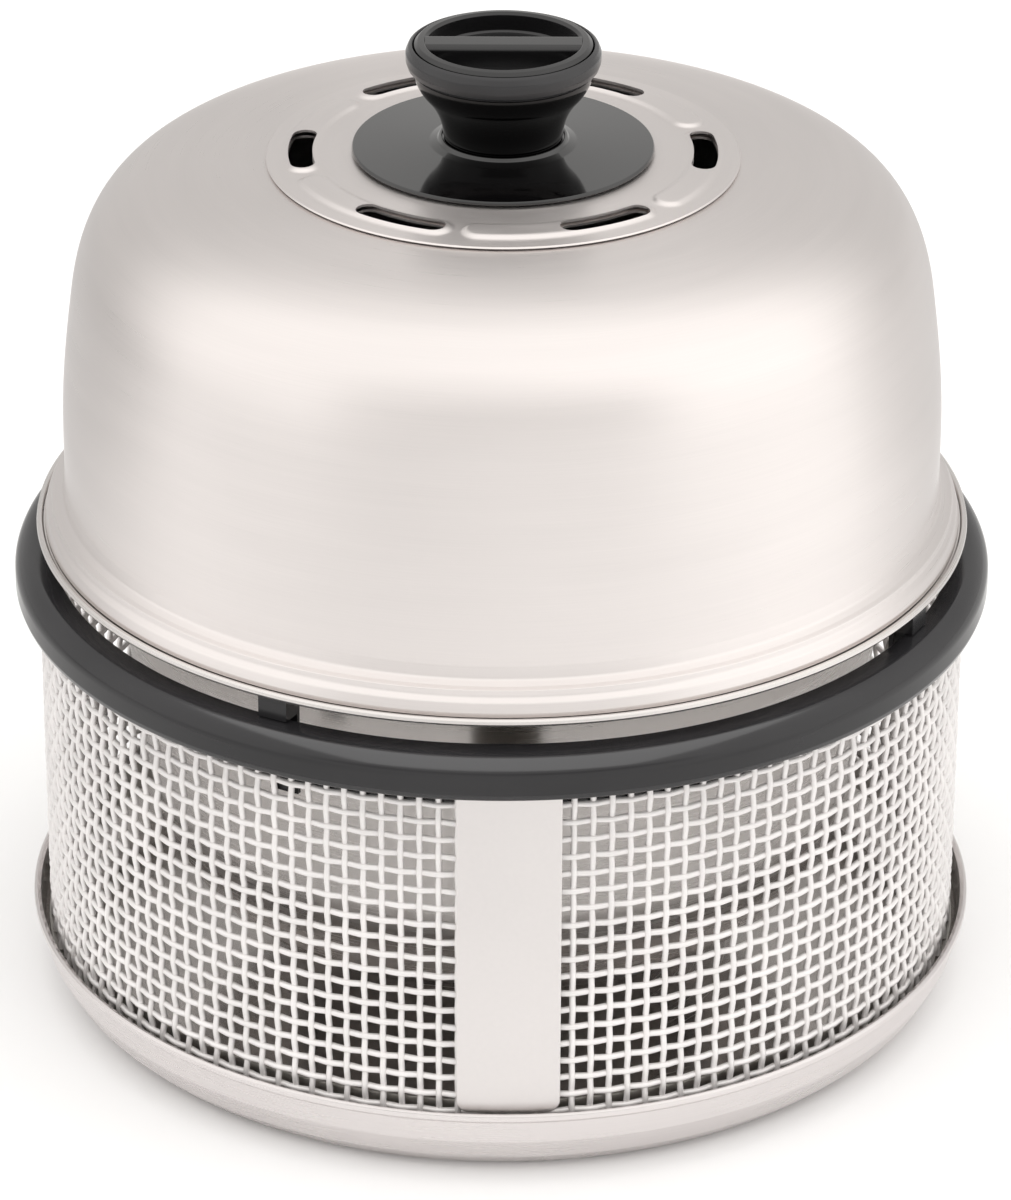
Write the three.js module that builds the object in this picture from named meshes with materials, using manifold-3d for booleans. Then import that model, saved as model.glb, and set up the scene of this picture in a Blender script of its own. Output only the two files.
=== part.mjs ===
// Portable domed charcoal grill: woven-mesh base with a rim ring, lift-out inner bowl, charcoal
// basket with a folding bail, slotted grill plate, and a domed lid with a knob and a rotating vent.
// Millimetres, +Z up, origin at the centre of the underside, the seam plate faces -Y.

import * as THREE from 'three';
import { mergeVertices } from 'three/addons/utils/BufferGeometryUtils.js';
import Module from 'manifold-3d';

const wasm = await Module();
wasm.setup();

// ---------------------------------------------------------------- driving dimensions

const GAP = 0.4;                 // clearance between neighbouring pieces
const SHEET = 0.8;               // stainless sheet
const SIDES = 40;                // facets round the large turned pieces
const KNOB_SIDES = 28;           // facets round the small turned pieces

const RING_R = 160;              // rim ring, outer radius
const RING_INNER_R = 148.8;
const RING_LIP_R = 147.6;         // the ring's top reaches further in than its wall
const RING_LIP = 1.4;            // thickness of that lip
const RING_BOTTOM = 139.8;
const RING_TOP = 154;
const RING_SHOULDER = 7;         // radius of the ring's upper outer edge
const RING_CHAMFER = 2;

const PAN_FOOT_R = 141;          // flat underside of the pan
const PAN_RIM_R = 157.7;
const PAN_RIM_TOP = 26.2;
const PAN_CREASE = [154.6, 14.4];

const MESH_R = 152.9;            // outside of the woven mesh
const MESH_THICKNESS = 1.1;      // solid wall that weighs what the woven wires weigh
const MESH_BOTTOM = 16.6;
const MESH_TOP = RING_BOTTOM - GAP;

const HOOP_R = 148.4;            // bands and strip inside the mesh
const HOOP_THICKNESS = 1;
const BOTTOM_HOOP = [15.3, 26];  // heights of the lower band's foot and top
const TOP_HOOP = [131.6, 151.2];  // heights of the upper band's ends

const SEAM_CENTRE = 1;           // degrees from the front, towards +X
const SEAM_SPAN = 12.2;          // degrees of arc that the seam plate covers
const SEAM_BOTTOM = 25;

const LUG_COUNT = 4;
const LUG_FIRST = -28;           // degrees from the front
const LUG_WIDTH = 10;
const LUG_INNER_R = 142.4;
const LUG_THICKNESS = 1.6;
const LUG_HEAD_R = 150.6;
const LUG_FOOT = 126;
const SCREW_Z = 145.5;
const SCREW_R = 1.75;
const SCREW_HEAD_R = 3.2;
const SCREW_SPAN = [140.4, 156];   // radii of the head's face and the tip

const FLANGE_Z = 162.7;          // underside of the bowl's flange
const FLANGE_R = 152.2;
const FLANGE_INNER_R = 134;
const SEAT_R = 60;               // raised seat in the middle of the bowl
const SEAT_Z = 76;
const MOAT_Z = 34;

const BASKET_R = 58;
const BASKET_BOTTOM = SEAT_Z + SHEET + GAP;
const BASKET_TOP = 117.4;
const BASKET_HOLE_R = 4;

const BAIL_Z = 121.3;            // height of the bail's pivots
const BAIL_WIRE_R = 1.5;
const BAIL_HALF_WIDTH = 62.5;
const BAIL_REACH = 36;
const EAR_X = 58.4;
const EAR_THICKNESS = 1.2;

const PLATE_R = 147.2;           // grill plate
const PLATE_Z = FLANGE_Z + SHEET + GAP;
const PLATE_THICKNESS = 1.4;
const PLATE_SLOTS = 12;
const PLATE_SLOT_R = 113.5;      // middle of the drip channel

const LID_EDGE_R = 149.6;
const LID_EDGE_Z = FLANGE_Z + SHEET + GAP;
const LID_WALL_R = 142.8;
const LID_CROWN_Z = 288.7;

const VENT_COUNT = 6;
const VENT_MID_R = 64.7;
const VENT_HALF_WIDTH = 3.9;
const VENT_SPAN = 28;            // degrees of arc of one vent slot
const VENT_FIRST = 30;           // degrees from the front
const DAMPER_R = 75.7;
const DAMPER_BORE_R = 31;
const BLISTER_SPAN = 27;
const BLISTER_OFFSET = -27.5;    // centre of the raised cover, from its slot
const BLISTER_HEIGHT = 0.9;

const DISC_R = 48.4;             // black plate under the knob
const DISC_Z = 290;
const COLLAR_R = 20.6;
const KNOB_FOOT_R = 18.8;
const KNOB_FOOT_Z = 294.7;
const KNOB_SPLIT_Z = 317.2;      // joint between the knob's body and its rim
const KNOB_RIM_R = 31.1;
const KNOB_TOP = 326.8;
const CAP_R = 28.4;
const RECESS_R = 24.5;           // the cap's two finger recesses, either side of the grip bar
const GRIP_BAR_WIDTH = 10.4;
const BOLT_R = 2.5;
const BOLT_HOLE_R = 3.2;
const BOLT_HEAD_R = 6.5;

// ---------------------------------------------------------------- materials

const surface = (color, metalness, roughness) =>
  new THREE.MeshStandardMaterial({ color, metalness, roughness });

const BRUSHED = surface(0xd8d5d1, 1, 0.32);
const POLISHED = surface(0xc9c7c4, 1, 0.15);
const WIRE = surface(0xe0dedb, 1, 0.25);
const RIM_BLACK = surface(0x3c3b3d, 0, 0.42);
const GLOSS_BLACK = surface(0x0c0b0c, 0, 0.12);
const RIM_GREY = surface(0x4a494b, 0.1, 0.35);
const NON_STICK = surface(0x242424, 0.2, 0.5);
const DARK_STEEL = surface(0x77746f, 1, 0.45);
const BRASS = surface(0xb8954a, 1, 0.35);

// ---------------------------------------------------------------- geometry helpers

const radians = (degrees) => (degrees * Math.PI) / 180;

// A point in plan at an angle from the front, positive towards +X.
const plan = (radius, degrees) =>
  new THREE.Vector2(radius * Math.sin(radians(degrees)), -radius * Math.cos(radians(degrees)));

// Evenly spaced points of an arc in a radius-height outline, without its first point.
function arcPoints(centre, radius, from, to, steps) {
  const points = [];
  for (let i = 1; i <= steps; i += 1) {
    const a = radians(from + ((to - from) * i) / steps);
    points.push([centre[0] + radius * Math.cos(a), centre[1] + radius * Math.sin(a)]);
  }
  return points;
}

function signedArea(outline) {
  let area = 0;
  outline.forEach(([x, y], i) => {
    const [nx, ny] = outline[(i + 1) % outline.length];
    area += (x * ny - nx * y) / 2;
  });
  return area;
}

// Turns a radius-height outline about Z. An outline that doesn't start on the axis closes on itself.
function turned(outline, sides = SIDES) {
  let points = outline.map(([r, z]) => new THREE.Vector2(r, z));
  if (signedArea(outline) < 0) points = points.reverse();
  const onAxis = outline[0][0] === 0;
  if (!onAxis) points.push(points[0].clone());
  const geometry = new THREE.LatheGeometry(points, sides);
  geometry.rotateX(Math.PI / 2);
  return geometry;
}

// The closed outline of a sheet that follows a line, thickened to the line's left.
function sheetOutline(line, thickness) {
  const normal = (a, b) => {
    const length = Math.hypot(b[0] - a[0], b[1] - a[1]);
    return [-(b[1] - a[1]) / length, (b[0] - a[0]) / length];
  };
  const offset = line.map((point, i) => {
    const before = normal(line[Math.max(i - 1, 0)], line[Math.max(i, 1)]);
    const after = normal(line[Math.min(i, line.length - 2)], line[Math.min(i + 1, line.length - 1)]);
    const sum = [before[0] + after[0], before[1] + after[1]];
    const scale = (2 * thickness) / (sum[0] ** 2 + sum[1] ** 2);
    const radius = point[0] === 0 ? 0 : point[0] + sum[0] * scale;
    return [radius, point[1] + sum[1] * scale];
  });
  return [...line, ...offset.reverse()];
}

// A band with a plain rectangular section.
const band = (outerR, thickness, from, to) => turned([
  [outerR - thickness, from], [outerR, from], [outerR, to], [outerR - thickness, to],
]);

function extruded(points, depth) {
  const shape = new THREE.Shape(points);
  return new THREE.ExtrudeGeometry(shape, { depth, bevelEnabled: false, curveSegments: 6 });
}

// A strip that follows the wall of a cylinder over an arc.
function curvedStrip(outerR, thickness, centre, span, from, to, steps = 6) {
  const outer = [];
  const inner = [];
  for (let i = 0; i <= steps; i += 1) {
    const angle = centre - span / 2 + (span * i) / steps;
    outer.push(plan(outerR, angle));
    inner.push(plan(outerR - thickness, angle));
  }
  const geometry = extruded([...outer, ...inner.reverse()], to - from);
  geometry.translate(0, 0, from);
  return geometry;
}

// A slot with round ends that follows an arc in plan, as a prism.
function arcSlot(midR, halfWidth, centre, span, from, to, steps = 4, capSteps = 3) {
  const capAngle = THREE.MathUtils.radToDeg(halfWidth / midR);
  const start = centre - span / 2 + capAngle;
  const end = centre + span / 2 - capAngle;
  const points = [];
  const side = (radius, a, b) => {
    for (let i = 0; i <= steps; i += 1) points.push(plan(radius, a + ((b - a) * i) / steps));
  };
  const cap = (angle, turn) => {
    const middle = plan(midR, angle);
    for (let i = 1; i < capSteps; i += 1) {
      const a = radians(angle + turn + (180 * i) / capSteps);
      points.push(new THREE.Vector2(middle.x + halfWidth * Math.sin(a), middle.y - halfWidth * Math.cos(a)));
    }
  };
  side(midR + halfWidth, start, end);
  cap(end, 0);
  side(midR - halfWidth, end, start);
  cap(start, 180);
  const geometry = extruded(points, to - from);
  geometry.translate(0, 0, from);
  return geometry;
}

// A cylinder between two radii, lying along the radius at an angle and height.
function radialPin(radius, from, to, degrees, z, sides = 12) {
  const geometry = new THREE.CylinderGeometry(radius, radius, to - from, sides);
  const middle = plan((from + to) / 2, degrees);
  geometry.rotateZ(radians(degrees));
  geometry.translate(middle.x, middle.y, z);
  return geometry;
}

function cylinder(radius, from, to, sides = 12) {
  const geometry = new THREE.CylinderGeometry(radius, radius, to - from, sides);
  geometry.rotateX(Math.PI / 2);
  geometry.translate(0, 0, (from + to) / 2);
  return geometry;
}

function solid(geometry) {
  const bare = geometry.clone();
  bare.deleteAttribute('normal');
  bare.deleteAttribute('uv');
  const merged = mergeVertices(bare, 1e-4);
  return new wasm.Manifold(new wasm.Mesh({
    numProp: 3,
    vertProperties: new Float32Array(merged.attributes.position.array),
    triVerts: new Uint32Array(merged.index.array),
  }));
}

function geometryOf(manifold) {
  const { vertProperties, triVerts } = manifold.getMesh();
  const geometry = new THREE.BufferGeometry();
  geometry.setAttribute('position', new THREE.BufferAttribute(vertProperties, 3));
  geometry.setIndex(new THREE.BufferAttribute(triVerts, 1));
  geometry.computeVertexNormals();
  return geometry;
}

const cut = (body, cutters) =>
  geometryOf(cutters.reduce((rest, cutter) => rest.subtract(solid(cutter)), solid(body)));

const join = (body, additions) =>
  geometryOf(additions.reduce((whole, addition) => whole.add(solid(addition)), solid(body)));

const model = new THREE.Group();

function place(name, geometry, material) {
  const mesh = new THREE.Mesh(geometry, material);
  mesh.name = name;
  model.add(mesh);
  return mesh;
}

const evenly = (count, first) => Array.from({ length: count }, (_, i) => first + (360 * i) / count);

// ---------------------------------------------------------------- base: pan, mesh and rim ring

function basePan() {
  const beadLow = PAN_RIM_TOP - 2.2;
  return turned([
    [0, 0], [PAN_FOOT_R, 0], [145, 1.6], [150, 6.2], PAN_CREASE, [156.4, beadLow - 1.2],
    [PAN_RIM_R, beadLow], [PAN_RIM_R, PAN_RIM_TOP - 1], [PAN_RIM_R - 1, PAN_RIM_TOP],
    [PAN_RIM_R - 2.4, PAN_RIM_TOP - 1], [155.2, beadLow - 2], [153.6, 14.8], [149.2, 7],
    [144.4, 2.6], [PAN_FOOT_R - 0.4, 1], [0, 1],
  ]);
}

function rimRing() {
  const shoulderCentre = [RING_R - RING_SHOULDER, RING_TOP - RING_SHOULDER];
  const body = turned([
    [RING_INNER_R, RING_BOTTOM],
    [RING_R - RING_CHAMFER, RING_BOTTOM],
    [RING_R, RING_BOTTOM + RING_CHAMFER],
    [RING_R, RING_TOP - RING_SHOULDER],
    ...arcPoints(shoulderCentre, RING_SHOULDER, 0, 90, 4),
    [RING_LIP_R, RING_TOP],
    [RING_LIP_R, RING_TOP - RING_LIP],
    [RING_INNER_R, RING_TOP - RING_LIP],
  ]);
  const screwHoles = lugAngles.map((angle) =>
    radialPin(SCREW_R + GAP, RING_INNER_R - 2, SCREW_SPAN[1] + GAP, angle, SCREW_Z));
  return cut(body, screwHoles);
}

function bottomHoop() {
  const [foot, top] = BOTTOM_HOOP;
  return turned([
    [HOOP_R - HOOP_THICKNESS, foot], [MESH_R, foot], [MESH_R, foot + 0.9],
    [HOOP_R, foot + 0.9], [HOOP_R, top], [HOOP_R - HOOP_THICKNESS, top],
  ]);
}

function topHoop() {
  const screwHoles = lugAngles.map((angle) =>
    radialPin(SCREW_R + GAP, HOOP_R - 5, HOOP_R + 4, angle, SCREW_Z));
  return cut(band(HOOP_R, HOOP_THICKNESS, ...TOP_HOOP), screwHoles);
}

// A stepped bracket: its foot is screwed to the ring's inside, its head carries the bowl's flange.
function lug(angle) {
  const footR = LUG_INNER_R + LUG_THICKNESS;
  const section = [
    [LUG_INNER_R, LUG_FOOT], [footR, LUG_FOOT], [footR, RING_TOP + GAP],
    [LUG_HEAD_R, RING_TOP + GAP], [LUG_HEAD_R, FLANGE_Z - GAP], [LUG_INNER_R, FLANGE_Z - GAP],
  ].map(([r, z]) => new THREE.Vector2(r, z));
  const body = extruded(section, LUG_WIDTH);
  body.translate(0, 0, -LUG_WIDTH / 2);
  body.rotateX(Math.PI / 2);
  body.rotateZ(radians(angle - 90));
  return cut(body, [radialPin(SCREW_R + GAP, LUG_INNER_R - 3, HOOP_R, angle, SCREW_Z)]);
}

function lugScrew(angle) {
  const [face, tip] = SCREW_SPAN;
  const shank = radialPin(SCREW_R, face + 1, tip, angle, SCREW_Z);
  return join(shank, [radialPin(SCREW_HEAD_R, face, LUG_INNER_R - GAP, angle, SCREW_Z, 16)]);
}

const lugAngles = evenly(LUG_COUNT, LUG_FIRST);

place('base_pan', basePan(), BRUSHED);
place('mesh_bottom_hoop', bottomHoop(), DARK_STEEL);
place('mesh_screen', band(MESH_R, MESH_THICKNESS, MESH_BOTTOM, MESH_TOP), WIRE);
place('mesh_top_hoop', topHoop(), RIM_BLACK);
place('seam_plate', curvedStrip(MESH_R + GAP + SHEET, SHEET, SEAM_CENTRE, SEAM_SPAN,
  SEAM_BOTTOM, MESH_TOP), BRUSHED);
place('seam_backing', curvedStrip(HOOP_R, HOOP_THICKNESS, SEAM_CENTRE, SEAM_SPAN,
  BOTTOM_HOOP[1] + GAP, TOP_HOOP[0] - GAP), DARK_STEEL);
place('rim_ring', rimRing(), RIM_BLACK);
lugAngles.forEach((angle, i) => {
  place(`rim_lug_${i + 1}`, lug(angle), RIM_BLACK);
  place(`lug_screw_${i + 1}`, lugScrew(angle), DARK_STEEL);
});

// ---------------------------------------------------------------- inner bowl

// A deep bowl with a raised seat in the middle, a moat round it and a flat flange with a rolled lip.
function innerBowl() {
  const underside = [
    [0, SEAT_Z], [SEAT_R - 1, SEAT_Z], [SEAT_R + 9, MOAT_Z], [88, MOAT_Z], [101, MOAT_Z + 4.5],
    [110.5, MOAT_Z + 15], [115.5, MOAT_Z + 28], [118.4, MOAT_Z + 44], [126, 140], [130, 157.5],
    [FLANGE_INNER_R, FLANGE_Z], [FLANGE_R - 1.2, FLANGE_Z],
  ];
  const [[, seatTop], ...inside] = sheetOutline(underside, SHEET).slice(underside.length).reverse();
  return turned([
    ...underside,
    [FLANGE_R, FLANGE_Z + 0.7], [FLANGE_R - 0.4, FLANGE_Z + 2], [FLANGE_R - 1.9, FLANGE_Z + 1.2],
    ...inside.slice(0, -1).reverse(),
    [0, seatTop],
  ]);
}

place('inner_bowl', innerBowl(), POLISHED);

// ---------------------------------------------------------------- charcoal basket and its bail

function fireBasket() {
  const outside = [
    [0, BASKET_BOTTOM], [BASKET_R - 2, BASKET_BOTTOM], [BASKET_R, BASKET_BOTTOM + 2],
    [BASKET_R, BASKET_TOP - 1.6], [BASKET_R + 2.6, BASKET_TOP - SHEET],
  ];
  const body = turned(sheetOutline(outside, SHEET), 36);
  const sideHoles = [0, 1].flatMap((row) => evenly(12, row * 15).map((angle) =>
    radialPin(BASKET_HOLE_R, BASKET_R - 8, BASKET_R + 4, angle, BASKET_BOTTOM + 12 + row * 14, 6)));
  const floorHoles = evenly(6, 0).map((angle) => {
    const centre = plan(32, angle);
    const hole = cylinder(BASKET_HOLE_R, BASKET_BOTTOM - 3, BASKET_BOTTOM + 4, 6);
    hole.translate(centre.x, centre.y, 0);
    return hole;
  });
  return cut(body, [...sideHoles, ...floorHoles]);
}

// A small plate that stands on the basket's rim, with the pivot hole of the bail.
function basketEar(side) {
  const plate = new THREE.BoxGeometry(EAR_THICKNESS, 9, 7.4);
  plate.translate(side * (EAR_X + EAR_THICKNESS / 2), 0, BASKET_TOP + GAP + 3.7);
  const hole = new THREE.CylinderGeometry(BAIL_WIRE_R + GAP, BAIL_WIRE_R + GAP, 6, 12);
  hole.rotateZ(Math.PI / 2);
  hole.translate(side * (EAR_X + EAR_THICKNESS / 2), 0, BAIL_Z);
  return cut(plate, [hole]);
}

// A bent wire: in through one ear, along both sides and across in front.
function basketBail() {
  const at = (x, y) => new THREE.Vector3(x, y, BAIL_Z);
  const bend = 5;
  const corner = 14;
  const w = BAIL_HALF_WIDTH;
  const path = new THREE.CurvePath();
  path.add(new THREE.LineCurve3(at(-EAR_X + 2, 0), at(-w + bend, 0)));
  path.add(new THREE.QuadraticBezierCurve3(at(-w + bend, 0), at(-w, 0), at(-w, -bend)));
  path.add(new THREE.LineCurve3(at(-w, -bend), at(-w, -BAIL_REACH + corner)));
  path.add(new THREE.QuadraticBezierCurve3(at(-w, -BAIL_REACH + corner), at(-w, -BAIL_REACH),
    at(-w + corner, -BAIL_REACH)));
  path.add(new THREE.LineCurve3(at(-w + corner, -BAIL_REACH), at(w - corner, -BAIL_REACH)));
  path.add(new THREE.QuadraticBezierCurve3(at(w - corner, -BAIL_REACH), at(w, -BAIL_REACH),
    at(w, -BAIL_REACH + corner)));
  path.add(new THREE.LineCurve3(at(w, -BAIL_REACH + corner), at(w, -bend)));
  path.add(new THREE.QuadraticBezierCurve3(at(w, -bend), at(w, 0), at(w - bend, 0)));
  path.add(new THREE.LineCurve3(at(w - bend, 0), at(EAR_X - 2, 0)));
  const section = new THREE.Shape();
  section.absarc(0, 0, BAIL_WIRE_R, 0, Math.PI * 2);
  return new THREE.ExtrudeGeometry(section, { steps: 48, extrudePath: path, curveSegments: 4 });
}

place('fire_basket', fireBasket(), DARK_STEEL);
place('basket_ear_left', basketEar(-1), DARK_STEEL);
place('basket_ear_right', basketEar(1), DARK_STEEL);
place('basket_bail', basketBail(), DARK_STEEL);

// ---------------------------------------------------------------- grill plate

// A shallow crowned plate with a drip channel near its rim; the slots let the heat past.
function grillPlate() {
  const channel = PLATE_Z - 1.8;
  const underside = [
    [0, PLATE_Z + 6.4], [55, PLATE_Z + 5], [104, PLATE_Z + 1],
    [PLATE_SLOT_R - 5.5, channel], [PLATE_SLOT_R + 5.5, channel],
    [PLATE_SLOT_R + 8.5, PLATE_Z], [PLATE_R, PLATE_Z],
  ];
  const body = turned(sheetOutline(underside, PLATE_THICKNESS));
  const slots = evenly(PLATE_SLOTS, 0).map((angle) =>
    arcSlot(PLATE_SLOT_R, 2.4, angle, 20, channel - 4, channel + 8, 2, 2));
  return cut(body, slots);
}

place('grill_plate', grillPlate(), NON_STICK);

// ---------------------------------------------------------------- domed lid

// From the lower edge up the band, the wall and the shoulder to the bolt hole in the crown.
function lidLine() {
  const shoulder = new THREE.CubicBezierCurve(
    new THREE.Vector2(139, 242), new THREE.Vector2(134.4, 278.6),
    new THREE.Vector2(114.9, 283.3), new THREE.Vector2(84, 286.4));
  return [
    [LID_EDGE_R, LID_EDGE_Z], [LID_EDGE_R, 165.1], [145.6, 168.6], [144.6, 172.6], [LID_WALL_R, 175.5],
    [LID_WALL_R, 197], [141.8, 218],
    ...shoulder.getPoints(5).map(({ x, y }) => [x, y]),
    [DISC_R, LID_CROWN_Z - 0.4], [BOLT_HOLE_R, LID_CROWN_Z],
  ];
}

const ventAngles = evenly(VENT_COUNT, VENT_FIRST);

const ventSlot = (angle, from, to) =>
  arcSlot(VENT_MID_R, VENT_HALF_WIDTH, angle, VENT_SPAN, from, to);

place('lid_dome', cut(turned(sheetOutline(lidLine(), SHEET)),
  ventAngles.map((angle) => ventSlot(angle, LID_CROWN_Z - 6, LID_CROWN_Z + 4))), BRUSHED);

// ---------------------------------------------------------------- rotating vent ring

// A thin crowned ring with six slots; beside each slot a raised cover shuts the lid's vent.
function damperRing() {
  const underside = [
    [DAMPER_BORE_R, LID_CROWN_Z + 0.2], [DISC_R, LID_CROWN_Z], [DAMPER_R, 287.5],
  ];
  const body = turned(sheetOutline(underside, SHEET));
  const blisters = ventAngles.map((angle) =>
    arcSlot(VENT_MID_R, VENT_HALF_WIDTH - 0.3, angle + BLISTER_OFFSET, BLISTER_SPAN,
      LID_CROWN_Z - 0.4, LID_CROWN_Z + BLISTER_HEIGHT));
  const open = cut(body, ventAngles.map((angle) => ventSlot(angle, LID_CROWN_Z - 6, LID_CROWN_Z + 6)));
  return join(open, blisters);
}

place('damper_ring', damperRing(), BRUSHED);

// ---------------------------------------------------------------- knob and its fixings

const PIVOT_TOP = DISC_Z - 0.3;

place('pivot_plate', turned([
  [BOLT_HOLE_R, LID_CROWN_Z + 0.3], [DAMPER_BORE_R - GAP, LID_CROWN_Z + 0.3],
  [DAMPER_BORE_R - GAP, PIVOT_TOP], [BOLT_HOLE_R, PIVOT_TOP],
], KNOB_SIDES), DARK_STEEL);

place('knob_disc', turned([
  [BOLT_HOLE_R, DISC_Z], [DISC_R - 0.7, DISC_Z], [DISC_R, DISC_Z + 0.7], [DISC_R - 0.4, DISC_Z + 1.7],
  [COLLAR_R + 3, DISC_Z + 2.8], [COLLAR_R, DISC_Z + 3.6], [COLLAR_R - 0.2, DISC_Z + 4.8],
  [COLLAR_R - 1, DISC_Z + 4.9], [COLLAR_R - 1.1, DISC_Z + 4.3], [BOLT_HOLE_R, DISC_Z + 4.3],
], KNOB_SIDES), GLOSS_BLACK);

const INSERT = { radius: 5, from: 296, to: 312 };

place('knob_body', turned([
  [INSERT.radius + GAP, KNOB_FOOT_Z], [KNOB_FOOT_R - 0.4, KNOB_FOOT_Z],
  [KNOB_FOOT_R + 0.5, KNOB_FOOT_Z + 1.6], [19.8, 300.3], [21.5, 304.6], [24.8, 308.8],
  [27.2, 311.8], [28.5, 314.6], [28.8, KNOB_SPLIT_Z], [BOLT_R, KNOB_SPLIT_Z], [BOLT_R, INSERT.to + GAP],
  [INSERT.radius + GAP, INSERT.to + GAP],
], KNOB_SIDES), GLOSS_BLACK);

place('knob_rim', turned([
  [CAP_R + GAP, KNOB_SPLIT_Z + GAP], [29.4, KNOB_SPLIT_Z + GAP], [30.5, 318.7], [31, 320.2],
  [KNOB_RIM_R, 322.2], [30.8, 323.9], [30, KNOB_TOP - 1.6], [CAP_R + GAP, KNOB_TOP - 1],
], KNOB_SIDES), RIM_GREY);

// A dish whose border carries a flat grip bar across it.
function knobCap() {
  const underside = KNOB_SPLIT_Z + GAP;
  const floor = underside + 2;
  const dish = turned([
    [0, underside], [CAP_R, underside], [CAP_R, KNOB_TOP - 0.9], [CAP_R - 2.2, KNOB_TOP - 0.2],
    [RECESS_R + 0.6, KNOB_TOP], [RECESS_R, KNOB_TOP - 0.6], [RECESS_R - 0.8, floor], [0, floor],
  ], KNOB_SIDES);
  const bar = new THREE.BoxGeometry(2 * CAP_R, GRIP_BAR_WIDTH, KNOB_TOP - underside - 1);
  bar.translate(0, 0, (KNOB_TOP + underside + 1) / 2);
  const reach = cylinder(RECESS_R + 0.6, underside, KNOB_TOP + 1, KNOB_SIDES);
  return geometryOf(solid(dish).add(solid(bar).intersect(solid(reach))));
}

place('knob_cap', knobCap(), GLOSS_BLACK);

place('knob_insert', turned([
  [BOLT_R + 0.3, INSERT.from], [INSERT.radius, INSERT.from], [INSERT.radius, INSERT.to],
  [BOLT_R + 0.3, INSERT.to],
], 16), BRASS);

place('lid_washer', turned([
  [BOLT_HOLE_R, 286.4], [10, 286.4], [10, 287.5], [BOLT_HOLE_R, 287.5],
], 24), DARK_STEEL);

place('lid_bolt', join(cylinder(BOLT_R, 285, INSERT.to - 2), [cylinder(BOLT_HEAD_R, 282, 286, 6)]),
  DARK_STEEL);

export default model;
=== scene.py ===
import math

import bmesh
import bpy
from mathutils import Matrix, Vector


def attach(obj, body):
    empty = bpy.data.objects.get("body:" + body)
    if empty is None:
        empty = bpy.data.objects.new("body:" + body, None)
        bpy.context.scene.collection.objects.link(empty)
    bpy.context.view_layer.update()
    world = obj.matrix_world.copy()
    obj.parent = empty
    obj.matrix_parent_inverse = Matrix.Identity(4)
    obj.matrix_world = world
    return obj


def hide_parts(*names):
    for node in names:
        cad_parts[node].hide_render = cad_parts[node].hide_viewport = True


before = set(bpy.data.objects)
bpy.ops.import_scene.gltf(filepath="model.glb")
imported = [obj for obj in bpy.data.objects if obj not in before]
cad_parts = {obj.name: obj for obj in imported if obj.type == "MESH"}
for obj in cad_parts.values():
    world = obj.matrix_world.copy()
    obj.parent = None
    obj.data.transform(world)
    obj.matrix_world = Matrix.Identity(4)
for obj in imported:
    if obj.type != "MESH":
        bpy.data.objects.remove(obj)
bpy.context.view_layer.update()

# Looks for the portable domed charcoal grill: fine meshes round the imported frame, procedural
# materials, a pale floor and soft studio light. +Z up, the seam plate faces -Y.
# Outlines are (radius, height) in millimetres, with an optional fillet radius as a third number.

scene = bpy.context.scene

MM = 0.001
SIDES = 288                      # facets round the large turned pieces
SMALL_SIDES = 96                 # facets round the knob and other small turned pieces
SHEET = 0.8                      # stainless sheet, mm
SHARP = math.radians(34)         # edges sharper than this stay crisp


# ---------------------------------------------------------------- mesh helpers

def link(name, mesh):
    piece = bpy.data.objects.new(name, mesh)
    scene.collection.objects.link(piece)
    return piece


def link_bmesh(name, bm):
    """Ends a mesh under construction and links it as an object."""
    mesh = bpy.data.meshes.new(name)
    bm.to_mesh(mesh)
    bm.free()
    return link(name, mesh)


def apply_modifiers(piece):
    """Turns the piece's modifiers into its mesh."""
    bpy.context.view_layer.update()
    evaluated = piece.evaluated_get(bpy.context.evaluated_depsgraph_get())
    mesh = bpy.data.meshes.new_from_object(evaluated)
    piece.modifiers.clear()
    old, piece.data = piece.data, mesh
    bpy.data.meshes.remove(old)


def smooth(piece, sharp=SHARP):
    """Smooth shading between crisp edges, with flat faces kept flat."""
    piece.data.shade_smooth()
    piece.data.set_sharp_from_angle(angle=sharp)
    weighted = piece.modifiers.new("weighted", "WEIGHTED_NORMAL")
    weighted.keep_sharp = True
    apply_modifiers(piece)


def fillet(outline, closed, steps=5):
    """Rounds every corner that has a third number, its fillet radius."""
    points = []
    count = len(outline)
    for i, corner in enumerate(outline):
        here = Vector(corner[:2])
        radius = corner[2] if len(corner) > 2 else 0
        if radius == 0 or (not closed and i in (0, count - 1)):
            points.append(here)
            continue
        before = Vector(outline[i - 1][:2]) - here
        after = Vector(outline[(i + 1) % count][:2]) - here
        angle = before.angle(after)
        reach = min(radius / math.tan(angle / 2), 0.48 * before.length, 0.48 * after.length)
        start = here + before.normalized() * reach
        end = here + after.normalized() * reach
        for k in range(steps + 1):
            t = k / steps
            points.append((1 - t) ** 2 * start + 2 * t * (1 - t) * here + t * t * end)
    return points


def bezier(a, b, c, d, steps):
    """Points of a cubic curve from a to d, without a itself."""
    a, b, c, d = (Vector(p) for p in (a, b, c, d))
    points = []
    for i in range(1, steps + 1):
        t = i / steps
        u = 1 - t
        points.append(u ** 3 * a + 3 * u * u * t * b + 3 * u * t * t * c + t ** 3 * d)
    return points


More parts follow.
